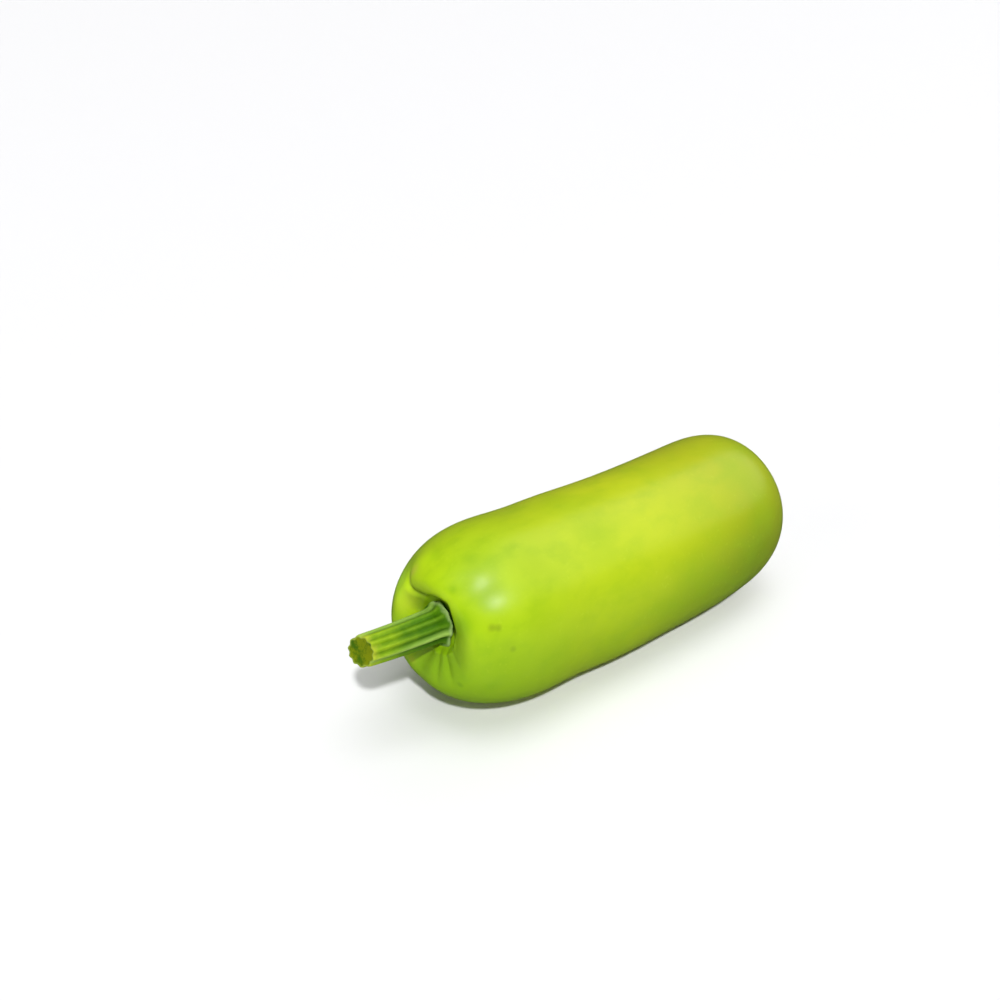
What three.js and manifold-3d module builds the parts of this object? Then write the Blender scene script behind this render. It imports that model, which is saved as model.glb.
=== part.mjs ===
// Bottle gourd: one whole picked fruit lying on its side, with its cut stem and its dry blossom scar.
// Millimetres, +Z up. The stem points towards -X and the blossom end towards +X. The origin is on the
// surface that the fruit lies on, in the small flat that it rests on, below the middle of its length.

import * as THREE from "three";
import { mergeVertices } from "three/addons/utils/BufferGeometryUtils.js";
import Module from "manifold-3d";

const wasm = await Module();
wasm.setup();

// The fruit's body: a long blunt cylinder, a little thicker at the stem end, with a faint waist and,
// towards the blossom, a faint fullness
const FRUIT_LENGTH = 251;
const STEM_END_RADIUS = 50.4;
const BLOSSOM_END_RADIUS = 44.3;
const WAIST_DEPTH = 1.5;
const WAIST_AT = 0.3;
const WAIST_WIDTH = 0.09;
const FULLNESS = 1.4;
const FULLEST_AT = 0.78;
const FULLNESS_WIDTH = 0.18;
const SHOULDER_LENGTH = 80;
const SHOULDER_POWER = 2.6;
const TIP_LENGTH = 48;
const TIP_POWER = 3.1;

// Its axis: a slight bow and sway in plan, and an underside that bellies gently onto the surface, with
// one radius towards the stem and another towards the blossom
const BOW = 1.8;
const SWAY = 8;
const BELLY_RADIUS = 1500;
const BELLY_RADIUS_BLOSSOM = 2000;
const REST_DEPTH = 1.2;

// The hollow that the stem stands in: a wide shallow bowl, and its middle's lift and shift from the axis
const HOLLOW_DEPTH = 8.5;
const HOLLOW_FLOOR = 8;
const HOLLOW_RIM = 31;
const HOLLOW_RIM_SHIFT = 2;
const HOLLOW_RIM_TOWARDS = 200;
const HOLLOW_LIFT = 4;
const HOLLOW_SIDE = -2;
const HOLLOW_SHIFT_FROM = 14;
const HOLLOW_SHIFT_TO = 46;

// The steeper well in the bowl's middle, close round the stem: wider above the stem, partly filled below
// it, and on the far side partly taken over by the bowl
const WELL_DEPTH = 6;
const WELL_FLOOR = 9.5;
const WELL_RIM = 13.4;
const WELL_FLOOR_WIDENING = 3;
const WELL_RIM_WIDENING = 12.4;
const WELL_WIDEST_AT = 112;
const WELL_SPREAD = 38;
const WELL_FILLING = 0.45;
const WELL_FILLED_AT = 275;
const WELL_FILLING_SPREAD = 60;
const FAR_WALL_DEPTH = 3.5;
const FAR_WALL_AT = 18;
const FAR_WALL_SPREAD = 45;

// The dimple round the blossom scar
const DIMPLE_DEPTH = 2.6;
const DIMPLE_RADIUS = 15;

// Creases that run out of the hollow over the shoulder. Each has a path of [distance from the stem's
// axis, angle from +Y towards +Z], a height along the skin's normal, a half width at its start and its
// end, and its strength at the start, just after it, past the middle and at the end.
const FOLDS = [
  // the one that curls from above the stem over the shoulder
  { path: [[15, 104], [16.5, 84], [17.5, 64], [20, 52], [24, 49], [29, 52], [34, 54]],
    height: -2.4, width: [1.5, 2.6], strength: [0.1, 0.5, 1, 0] },
  // two faint ones on the near shoulder
  { path: [[16, 124], [22, 120], [30, 116], [40, 114]],
    height: -1, width: [2, 4.6], strength: [1, 1, 0.6, 0] },
  { path: [[12, 155], [20, 156], [30, 157]],
    height: -0.4, width: [2.6, 6.5], strength: [1, 0.8, 0.4, 0] },
  // the small pleats under the stem
  { path: [[11, 214], [17, 212], [27, 209]],
    height: -0.5, width: [1.6, 3.6], strength: [0.3, 0.8, 0.8, 0] },
  { path: [[11, 237], [17, 237], [28, 235]],
    height: -1, width: [1.5, 3.2], strength: [0.3, 0.8, 1, 0] },
  { path: [[11, 260], [17, 261], [29, 262]],
    height: -1.2, width: [1.5, 3.4], strength: [0.3, 0.8, 1, 0] },
  // the wider creases between the far lobes
  { path: [[11, 284], [20, 287], [38, 290]],
    height: -2.2, width: [2, 6.4], strength: [0.4, 1, 0.8, 0] },
  { path: [[11, 322], [20, 325], [34, 329]],
    height: -1.8, width: [2.4, 7.2], strength: [1, 1, 0.7, 0] },
  { path: [[12, 12], [20, 10], [30, 8]],
    height: -0.8, width: [2.6, 7.8], strength: [1, 1, 0.6, 0] },
];
const FOLD_STRENGTH_STOPS = [0, 0.15, 0.6, 1];
const FOLD_SHARPNESS = 1.7;
const FOLD_STEPS = 48;

// The faint groove between the stem's collar and the skin, deepest on the upper side
const MOAT_RADIUS = 14.5;
const MOAT_WIDTH = 2.6;
const MOAT_DEPTH = 0.3;
const MOAT_EXTRA = 0.5;
const MOAT_DEEPEST_AT = 112;
const MOAT_SPREAD = 48;

// Swellings and one shallow dip round the hollow: distance from the stem's axis, angle, height and radius
const LOBES = [
  { out: 30, angle: -28, height: 2.2, radius: 17 },
  { out: 33, angle: 38, height: -1.4, radius: 14 },
  { out: 33, angle: 92, height: 0.8, radius: 16 },
  { out: 36, angle: 150, height: 0.6, radius: 18 },
  { out: 31, angle: -95, height: 0.6, radius: 14 },
  { out: 40, angle: -64, height: 2, radius: 13 },
];
const SHOULDER_FADE_FROM = 45;
const SHOULDER_FADE_TO = 95;

// The stem: ridged, a little bent, flared into a collar where it meets the fruit, and cut off slanting.
// The collar's place is a distance from the root, and the cut face is turned towards CUT_FACING.
const STEM_ROOT = new THREE.Vector3(-105, 1, 58.6);
const STEM_BEND = new THREE.Vector3(-130, 2.4, 59);
const STEM_CUT = new THREE.Vector3(-153.2, 8.8, 58.2);
const STEM_BASE_RADIUS = 8.5;
const STEM_CUT_RADIUS = 7.5;
const STEM_RIDGES = 11;
const STEM_RIDGE_HEIGHT = 0.6;
const STEM_RIDGE_HEIGHT_AT_CUT = 0.4;
// The direction of one ridge, and how unevenly the others follow, in degrees
const STEM_RIDGE_TURN = 96;
const STEM_RIDGE_SWERVE = 6;
const RIDGES_FROM = -1;
const RIDGES_FULL = 3;
const COLLAR_RADIUS = 11.8;
const COLLAR_AT = 7.3;
const COLLAR_WIDTH = 1.6;
const COLLAR_ROOT_POWER = 2;
const COLLAR_STEM_POWER = 1.3;
const COLLAR_SCALLOP = 0.12;
// Where the collar reaches out more or less: angle round the stem, height and half width in degrees
const COLLAR_BUMPS = [
  { angle: 38, height: 2, width: 18 },
  { angle: 105, height: 1, width: 24 },
  { angle: 148, height: 0.6, width: 14 },
  { angle: 198, height: -1.6, width: 24 },
  { angle: 240, height: 0.9, width: 16 },
];
const THINNING_POWER = 0.7;
const CUT_TILT = 27;
const CUT_SLANT_FROM = 0.45;
const CUT_FACING = new THREE.Vector3(-0.615, -0.645, 0.454);
const CUT_HOLLOW = 0.7;

// The dry scar that the blossom left: a corky button with a small nib.
// The outline is [radius, distance out from the dimple's floor], from its root to its tip.
const SCAR_OUTLINE = [
  [0, -3], [2.4, -2.6], [3.6, -0.8], [4.7, 0], [4.5, 0.8], [3, 1.1], [1.7, 1.2], [1.1, 2], [0, 2.3],
];
const SCAR_WAVES = 7;
const SCAR_WAVE = 0.05;

// How much wider than the stem and the scar their seats in the fruit are
const SKIN_GAP = 0.45;

// How finely each piece is divided
const ROUND_FRUIT = 88;
const STATIONS_SHOULDER = 32;
const STATIONS_BODY = 10;
const STATIONS_TIP = 13;
const ROUND_STEM = 66;
const STATIONS_STEM = 24;
const STEM_STATION_POWER = 1.6;
const ROUND_SCAR = 28;

const radians = THREE.MathUtils.degToRad;

function smooth(from, to, value) {
  return THREE.MathUtils.smoothstep(value, from, to);
}

function bell(distance, width, power = 2) {
  return Math.exp(-Math.pow(Math.abs(distance) / width, power));
}

// How many degrees an angle is from a direction, between -180 and 180
function turnFrom(angle, degrees) {
  const turn = THREE.MathUtils.radToDeg(angle) - degrees;
  return THREE.MathUtils.euclideanModulo(turn + 180, 360) - 180;
}

// A mesh whose shared vertices are merged, without the flat triangles that a pole leaves
function weld(geometry) {
  geometry.deleteAttribute("normal");
  geometry.deleteAttribute("uv");
  const merged = mergeVertices(geometry);
  const corners = merged.index.array;
  const kept = [];
  for (let i = 0; i < corners.length; i += 3) {
    const [a, b, c] = [corners[i], corners[i + 1], corners[i + 2]];
    if (a !== b && b !== c && c !== a) {
      kept.push(a, b, c);
    }
  }
  merged.setIndex(kept);
  return merged;
}

function toSolid(geometry) {
  return new wasm.Manifold(new wasm.Mesh({
    numProp: 3,
    vertProperties: new Float32Array(geometry.attributes.position.array),
    triVerts: new Uint32Array(geometry.index.array),
  }));
}

function toGeometry(solid) {
  const mesh = solid.getMesh();
  const geometry = new THREE.BufferGeometry();
  geometry.setAttribute("position", new THREE.BufferAttribute(new Float32Array(mesh.vertProperties), 3));
  geometry.setIndex(new THREE.BufferAttribute(new Uint32Array(mesh.triVerts), 1));
  geometry.computeVertexNormals();
  return geometry;
}

// The fruit's radius at a distance from its stem end, before the two ends round it off
function bodyRadius(along) {
  const t = along / FRUIT_LENGTH;
  const taper = THREE.MathUtils.lerp(STEM_END_RADIUS, BLOSSOM_END_RADIUS, t);
  return taper - WAIST_DEPTH * bell(t - WAIST_AT, WAIST_WIDTH)
    + FULLNESS * bell(t - FULLEST_AT, FULLNESS_WIDTH);
}

// Points of the outline from the stem's pole to the blossom's, as [radius, distance from the stem end]
function fruitOutline() {
  const points = [];
  for (let i = 0; i <= STATIONS_SHOULDER; i++) {
    const turn = (Math.PI / 2) * (i / STATIONS_SHOULDER);
    const along = SHOULDER_LENGTH * (1 - Math.pow(Math.cos(turn), 2 / SHOULDER_POWER));
    points.push([bodyRadius(along) * Math.pow(Math.sin(turn), 2 / SHOULDER_POWER), along]);
  }
  for (let i = 1; i < STATIONS_BODY; i++) {
    const along = THREE.MathUtils.lerp(SHOULDER_LENGTH, FRUIT_LENGTH - TIP_LENGTH, i / STATIONS_BODY);
    points.push([bodyRadius(along), along]);
  }
  for (let i = STATIONS_TIP; i >= 0; i--) {
    const turn = (Math.PI / 2) * (i / STATIONS_TIP);
    const along = FRUIT_LENGTH - TIP_LENGTH * (1 - Math.pow(Math.cos(turn), 2 / TIP_POWER));
    points.push([bodyRadius(along) * Math.pow(Math.sin(turn), 2 / TIP_POWER), along]);
  }
  return points;
}

// Where the axis runs: sideways from the middle line, and above the surface
function axisSide(along) {
  const s = (2 * along) / FRUIT_LENGTH - 1;
  return BOW * (2 / 3 - (1 - s * s)) - SWAY * s * (1 - s * s);
}

function axisHeight(along) {
  const taper = THREE.MathUtils.lerp(STEM_END_RADIUS, BLOSSOM_END_RADIUS, along / FRUIT_LENGTH);
  const fromMiddle = along - FRUIT_LENGTH / 2;
  const curve = fromMiddle < 0 ? BELLY_RADIUS : BELLY_RADIUS_BLOSSOM;
  return taper - REST_DEPTH + (fromMiddle * fromMiddle) / (2 * curve);
}

// How much of the well's depth the bowl takes over on the far side
function farWallDepth(angle) {
  return FAR_WALL_DEPTH * bell(turnFrom(angle, FAR_WALL_AT), FAR_WALL_SPREAD);
}

function wellSink(radius, angle) {
  const wider = bell(turnFrom(angle, WELL_WIDEST_AT), WELL_SPREAD);
  const floor = WELL_FLOOR + WELL_FLOOR_WIDENING * wider;
  const rim = WELL_RIM + WELL_RIM_WIDENING * wider;
  const filled = WELL_FILLING * bell(turnFrom(angle, WELL_FILLED_AT), WELL_FILLING_SPREAD);
  const depth = WELL_DEPTH * (1 - filled * smooth(0, WELL_FLOOR, radius));
  return (depth - farWallDepth(angle)) * (1 - smooth(floor, rim, radius));
}

// How far the stem's hollow or the blossom's dimple sinks the outline in
function endSink(radius, along, angle) {
  if (along > FRUIT_LENGTH / 2) {
    const inside = Math.max(0, 1 - (radius / DIMPLE_RADIUS) ** 2);
    return -DIMPLE_DEPTH * inside * inside;
  }
  const rim = HOLLOW_RIM + HOLLOW_RIM_SHIFT * Math.cos(angle - radians(HOLLOW_RIM_TOWARDS));
  const bowl = (HOLLOW_DEPTH + farWallDepth(angle)) * (1 - smooth(HOLLOW_FLOOR, rim, radius));
  return bowl + wellSink(radius, angle);
}

function polarPoint(out, angle) {
  return new THREE.Vector3(out * Math.cos(radians(angle)), out * Math.sin(radians(angle)), 0);
}

const foldPaths = FOLDS.map((fold) => {
  const points = fold.path.map(([out, angle]) => polarPoint(out, angle));
  const curve = new THREE.CatmullRomCurve3(points, false, "catmullrom", 0.5);
  return { ...fold, trace: curve.getPoints(FOLD_STEPS) };
});

// The strength of a fold at a fraction of its length, straight between its four given values
function foldStrength(strength, at) {
  const stops = FOLD_STRENGTH_STOPS;
  const next = Math.max(1, stops.findIndex((stop) => at <= stop));
  const between = THREE.MathUtils.inverseLerp(stops[next - 1], stops[next], at);
  return THREE.MathUtils.lerp(strength[next - 1], strength[next], between);
}

function foldHeight(point) {
  let height = 0;
  const nearest = new THREE.Vector3();
  const step = new THREE.Line3();
  for (const fold of foldPaths) {
    let best = Infinity;
    let at = 0;
    for (let i = 0; i < FOLD_STEPS; i++) {
      step.set(fold.trace[i], fold.trace[i + 1]);
      const t = step.closestPointToPointParameter(point, true);
      const distance = step.at(t, nearest).distanceTo(point);
      if (distance < best) {
        best = distance;
        at = (i + t) / FOLD_STEPS;
      }
    }
    const width = THREE.MathUtils.lerp(fold.width[0], fold.width[1], at);
    height += fold.height * foldStrength(fold.strength, at) * bell(best, width, FOLD_SHARPNESS);
  }
  return height;
}

function moatHeight(point) {
  const turn = turnFrom(Math.atan2(point.y, point.x), MOAT_DEEPEST_AT);
  const depth = MOAT_DEPTH + MOAT_EXTRA * bell(turn, MOAT_SPREAD);
  return -depth * bell(point.length() - MOAT_RADIUS, MOAT_WIDTH);
}

function lobeHeight(point) {
  let height = 0;
  for (const lobe of LOBES) {
    height += lobe.height * bell(point.distanceTo(polarPoint(lobe.out, lobe.angle)), lobe.radius);
  }
  return height;
}

function fruitGeometry() {
  const outline = fruitOutline();
  const last = outline.length - 1;
  const geometry = new THREE.LatheGeometry(outline.map(([r, x]) => new THREE.Vector2(r, x)), ROUND_FRUIT);
  const position = geometry.attributes.position;
  for (let i = 0; i < position.count; i++) {
    const station = i % outline.length;
    const angle = (2 * Math.PI * Math.floor(i / outline.length)) / ROUND_FRUIT;
    const [radius, along] = outline[station];
    const [radiusBefore, alongBefore] = outline[Math.max(0, station - 1)];
    const [radiusAfter, alongAfter] = outline[Math.min(last, station + 1)];
    const sunk = along + endSink(radius, along, angle);
    const onAxis = station === 0 || station === last;
    const rise = radiusAfter - radiusBefore;
    const run = onAxis ? 0 : alongAfter + endSink(radiusAfter, alongAfter, angle)
      - alongBefore - endSink(radiusBefore, alongBefore, angle);
    const slope = Math.hypot(rise, run);
    const point = new THREE.Vector3(radius * Math.cos(angle), radius * Math.sin(angle), 0);
    let height = 0;
    if (along < SHOULDER_FADE_TO) {
      const fade = 1 - smooth(SHOULDER_FADE_FROM, SHOULDER_FADE_TO, along);
      height = fade * (foldHeight(point) + moatHeight(point) + lobeHeight(point));
    }
    const out = radius + (height * run) / slope;
    const shift = along < FRUIT_LENGTH / 2 ? 1 - smooth(HOLLOW_SHIFT_FROM, HOLLOW_SHIFT_TO, radius) : 0;
    position.setXYZ(
      i,
      sunk - (height * rise) / slope - FRUIT_LENGTH / 2,
      axisSide(along) + out * Math.cos(angle) + HOLLOW_SIDE * shift,
      axisHeight(along) + out * Math.sin(angle) + HOLLOW_LIFT * shift,
    );
  }
  return weld(geometry);
}

function collarBump(angle) {
  let height = 0;
  for (const bump of COLLAR_BUMPS) {
    height += bump.height * bell(turnFrom(angle, bump.angle), bump.width);
  }
  return height;
}

// The stem, or with grow above zero the seat that leaves a gap round it
function stemGeometry(grow) {
  const geometry = weld(new THREE.CylinderGeometry(1, 1, 1, ROUND_STEM, STATIONS_STEM));
  const position = geometry.attributes.position;
  const curve = new THREE.QuadraticBezierCurve3(STEM_ROOT, STEM_BEND, STEM_CUT);
  const length = curve.getLength();
  const up = new THREE.Vector3(0, 0, 1);
  const vertex = new THREE.Vector3();
  for (let i = 0; i < position.count; i++) {
    vertex.fromBufferAttribute(position, i);
    const rim = Math.round(Math.hypot(vertex.x, vertex.z));
    const angle = Math.atan2(vertex.z, vertex.x);
    const t = Math.pow(vertex.y + 0.5, STEM_STATION_POWER);
    const centre = curve.getPointAt(t);
    const tangent = curve.getTangentAt(t);
    const side = new THREE.Vector3().crossVectors(tangent, up).normalize();
    const over = new THREE.Vector3().crossVectors(side, tangent);
    const fromCollar = t * length - COLLAR_AT;
    const turn = angle - radians(STEM_RIDGE_TURN);
    const swerve = radians(STEM_RIDGE_SWERVE) * Math.sin(turn) ** 2;
    const wave = Math.cos(STEM_RIDGES * (turn + swerve));
    const outward = THREE.MathUtils.clamp(fromCollar / (length - COLLAR_AT), 0, 1);
    const thinning = Math.pow(outward, THINNING_POWER);
    const flare = bell(fromCollar, COLLAR_WIDTH, fromCollar < 0 ? COLLAR_ROOT_POWER : COLLAR_STEM_POWER);
    const ridge = THREE.MathUtils.lerp(STEM_RIDGE_HEIGHT, STEM_RIDGE_HEIGHT_AT_CUT, outward);
    const radius = THREE.MathUtils.lerp(STEM_BASE_RADIUS, STEM_CUT_RADIUS, thinning)
      + ridge * smooth(RIDGES_FROM, RIDGES_FULL, fromCollar) * wave
      + (COLLAR_RADIUS - STEM_BASE_RADIUS) * flare * (1 - COLLAR_SCALLOP + COLLAR_SCALLOP * wave)
      + flare * collarBump(angle)
      + grow;
    const facing = Math.atan2(over.dot(CUT_FACING), side.dot(CUT_FACING));
    const tilt = Math.tan(radians(CUT_TILT)) * smooth(CUT_SLANT_FROM, 1, t);
    const slant = tilt * radius * Math.cos(angle - facing);
    const hollow = rim === 0 && vertex.y > 0 ? CUT_HOLLOW : 0;
    const below = t === 0 ? grow : 0;
    centre.addScaledVector(tangent, -rim * slant - hollow - below);
    centre.addScaledVector(side, rim * radius * Math.cos(angle));
    centre.addScaledVector(over, rim * radius * Math.sin(angle));
    position.setXYZ(i, centre.x, centre.y, centre.z);
  }
  return geometry;
}

// The scar's middle, on the floor of the dimple
const scarFoot = new THREE.Vector3(
  FRUIT_LENGTH / 2 - DIMPLE_DEPTH,
  axisSide(FRUIT_LENGTH),
  axisHeight(FRUIT_LENGTH),
);

function scarGeometry(grow) {
  const outline = SCAR_OUTLINE.map(([radius, out]) => new THREE.Vector2(
    radius > 0 ? radius + grow : 0,
    out < 0 ? out - grow : out + grow,
  ));
  const geometry = new THREE.LatheGeometry(outline, ROUND_SCAR);
  const position = geometry.attributes.position;
  for (let i = 0; i < position.count; i++) {
    const [x, along, z] = [position.getX(i), position.getY(i), position.getZ(i)];
    const wave = 1 + SCAR_WAVE * Math.cos(SCAR_WAVES * Math.atan2(z, x));
    position.setXYZ(i, scarFoot.x + along, scarFoot.y + z * wave, scarFoot.z + x * wave);
  }
  return weld(geometry);
}

// Everything below the surface that the fruit lies on
function groundGeometry() {
  const box = new THREE.BoxGeometry(2 * FRUIT_LENGTH, 2 * FRUIT_LENGTH, FRUIT_LENGTH);
  box.translate(0, 0, -FRUIT_LENGTH / 2);
  return weld(box);
}

function fruit() {
  const flesh = toSolid(fruitGeometry())
    .subtract(toSolid(groundGeometry()))
    .subtract(toSolid(stemGeometry(SKIN_GAP)))
    .subtract(toSolid(scarGeometry(SKIN_GAP)));
  const skin = new THREE.MeshStandardMaterial({ color: "#a6c92c", roughness: 0.38, metalness: 0 });
  const mesh = new THREE.Mesh(toGeometry(flesh), skin);
  mesh.name = "fruit";
  return mesh;
}

function stem() {
  const rind = new THREE.MeshStandardMaterial({ color: "#5f9a1c", roughness: 0.55, metalness: 0 });
  const mesh = new THREE.Mesh(stemGeometry(0), rind);
  mesh.name = "stem";
  return mesh;
}

function blossomScar() {
  const cork = new THREE.MeshStandardMaterial({ color: "#7d6438", roughness: 0.85, metalness: 0 });
  const mesh = new THREE.Mesh(scarGeometry(0), cork);
  mesh.name = "blossom_scar";
  return mesh;
}

const group = new THREE.Group();
group.add(fruit(), stem(), blossomScar());

export default group;
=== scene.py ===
import math

import bpy
import numpy as np
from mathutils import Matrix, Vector


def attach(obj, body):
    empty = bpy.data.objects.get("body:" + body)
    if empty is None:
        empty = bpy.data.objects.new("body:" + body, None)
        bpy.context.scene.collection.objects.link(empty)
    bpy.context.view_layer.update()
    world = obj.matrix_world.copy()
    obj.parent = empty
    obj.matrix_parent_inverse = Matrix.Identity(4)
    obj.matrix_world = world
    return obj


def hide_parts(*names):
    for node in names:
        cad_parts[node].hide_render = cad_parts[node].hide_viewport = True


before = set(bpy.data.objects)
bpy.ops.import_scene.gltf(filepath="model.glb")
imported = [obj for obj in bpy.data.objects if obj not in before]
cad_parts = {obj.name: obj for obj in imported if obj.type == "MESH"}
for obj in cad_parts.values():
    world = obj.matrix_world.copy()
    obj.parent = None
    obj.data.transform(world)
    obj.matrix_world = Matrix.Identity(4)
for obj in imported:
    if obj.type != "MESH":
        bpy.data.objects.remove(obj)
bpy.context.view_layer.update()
print("frame loaded")

# One bottle gourd lying on its side. Lengths are in millimetres, as in the part's own source, and
# are turned into metres when a mesh is made. Angles round its length are in degrees, from +Y
# towards +Z.
millimetre = 0.001


def smooth(low, high, value):
    t = np.clip((value - low) / (high - low), 0, 1)
    return t * t * (3 - 2 * t)


def bell(distance, width, power=2.0):
    return np.exp(-np.abs(distance / width) ** power)


def polar(out, angle):
    return np.array([out * math.cos(math.radians(angle)), out * math.sin(math.radians(angle))])


def turnFrom(angle, degrees):
    # how many degrees an angle in radians is from a direction, between -180 and 180
    return (np.degrees(angle) - degrees + 180) % 360 - 180


def throughPoints(points, steps):
    # an even Catmull-Rom curve through the points
    points = np.array(points, float)
    ends = np.vstack([2 * points[0] - points[1], points, 2 * points[-1] - points[-2]])
    at = np.linspace(0, len(points) - 1, steps)
    i = np.minimum(at.astype(int), len(points) - 2)
    t = (at - i)[:, None]
    a, b, c, d = ends[i], ends[i + 1], ends[i + 2], ends[i + 3]
    return 0.5 * (2 * b + (c - a) * t + (2 * a - 5 * b + 4 * c - d) * t ** 2
                  + (3 * b - a - 3 * c + d) * t ** 3)


def softWaves(seed, points, size, waves=12, shortest=1.4, longest=2.8):
    # a smooth random field between 0 and 1, a sum of waves this many times the size long
    rng = np.random.default_rng(seed)
    total = np.zeros(points.shape[:-1])
    for _ in range(waves):
        direction = rng.normal(size=3)
        direction /= np.linalg.norm(direction)
        turns = 2 * math.pi / (size * rng.uniform(shortest, longest))
        total += np.sin(points @ direction * turns + rng.uniform(0, 2 * math.pi))
    return np.clip(0.5 + total / (2 * math.sqrt(waves)), 0, 1)


def closedMesh(name, rings, start, end, marks):
    # rings of points closed by one point at each end; each mark is a value for every ring point
    count, around = rings.shape[:2]
    points = np.vstack([rings.reshape(-1, 3), start, end]) * millimetre
    first, last = count * around, count * around + 1
    faces = []
    for j in range(around):
        k = (j + 1) % around
        faces.append((first, k, j))
        faces.append((last, (count - 1) * around + j, (count - 1) * around + k))
    for i in range(count - 1):
        here, beyond = i * around, (i + 1) * around
        for j in range(around):
            k = (j + 1) % around
            faces.append((here + j, here + k, beyond + k, beyond + j))
    mesh = bpy.data.meshes.new(name)
    mesh.from_pydata(points.tolist(), [], faces)
    mesh.shade_smooth()
    for label, values in marks.items():
        values = np.broadcast_to(values, (count, around))
        filled = np.concatenate([values.reshape(-1), [values[0].mean(), values[-1].mean()]])
        attribute = mesh.attributes.new(label, "FLOAT", "POINT")
        attribute.data.foreach_set("value", filled.astype(np.float32))
    mesh.update()
    piece = bpy.data.objects.new(name, mesh)
    bpy.context.scene.collection.objects.link(piece)
    return piece


class Wire:
    # a node's output socket, so that shader maths is written as plain sums
    def __init__(self, board, socket):
        self.board = board
        self.socket = socket

    def maths(self, operation, first, second):
        return self.board.node("ShaderNodeMath", {"operation": operation}, {0: first, 1: second})

    def __add__(self, other):
        return self.maths("ADD", self, other)

    def __radd__(self, other):
        return self.maths("ADD", other, self)

    def __sub__(self, other):
        return self.maths("SUBTRACT", self, other)

    def __rsub__(self, other):
        return self.maths("SUBTRACT", other, self)

    def __mul__(self, other):
        return self.maths("MULTIPLY", self, other)

    def __rmul__(self, other):
        return self.maths("MULTIPLY", other, self)


class Board:
    # the nodes of one material
    def __init__(self, name, fixed):
        self.material = bpy.data.materials.new(name)
        self.material.use_nodes = True
        self.tree = self.material.node_tree
        self.shader = self.tree.nodes["Principled BSDF"]
        for socket, value in fixed.items():
            self.shader.inputs[socket].default_value = value

    def node(self, kind, settings=None, sockets=None, output=0):
        made = self.tree.nodes.new(kind)
        for label, value in (settings or {}).items():
            if label == "stops":
                self.setStops(made.color_ramp, value)
            else:
                setattr(made, label, value)
        for key, value in (sockets or {}).items():
            self.join(value, made.inputs[key])
        return Wire(self, made.outputs[output])

    def setStops(self, ramp, stops):
        while len(ramp.elements) < len(stops):
            ramp.elements.new(1.0)
        for element, (at, colour) in zip(ramp.elements, stops):
            element.position = at
            element.color = (*colour, 1)

    def join(self, value, socket):
        if isinstance(value, Wire):
            self.tree.links.new(value.socket, socket)
        else:
            socket.default_value = value

    def feed(self, label, value):
        self.join(value, self.shader.inputs[label])

    def place(self):
        # where a point of the piece is, in millimetres
        metres = self.node("ShaderNodeTexCoord", output="Object")
        return self.stretched(metres, (1 / millimetre,) * 3)

    def mark(self, label):
        return self.node("ShaderNodeAttribute", {"attribute_name": label}, output="Fac")

    def ease(self, value, low, high):
        return self.node("ShaderNodeMapRange", {"interpolation_type": "SMOOTHSTEP"},
                         {"Value": value, "From Min": low, "From Max": high})

    def blend(self, low, high, mask):
        # both colours are wires or plain (red, green, blue)
        low, high = (side if isinstance(side, Wire) else (*side, 1) for side in (low, high))
        return self.node("ShaderNodeMix", {"data_type": "RGBA"}, {0: mask, 6: low, 7: high},
                         output=2)

    def noise(self, place, size, detail=2.0, roughness=0.5):
        return self.node("ShaderNodeTexNoise", None, {
            "Vector": place, "Scale": 1 / size, "Detail": detail, "Roughness": roughness})

    def stretched(self, place, scale):
        return self.node("ShaderNodeVectorMath", {"operation": "MULTIPLY"}, {0: place, 1: scale})

    def distance(self, place, point):
        return self.node("ShaderNodeVectorMath", {"operation": "DISTANCE"}, {0: place, 1: point},
                         output="Value")

    def ramp(self, value, stops):
        return self.node("ShaderNodeValToRGB", {"stops": stops}, {"Fac": value})

    def bump(self, height, depth, strength):
        return self.node("ShaderNodeBump", None, {
            "Height": height, "Distance": depth * millimetre, "Strength": strength})


# The fruit

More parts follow.
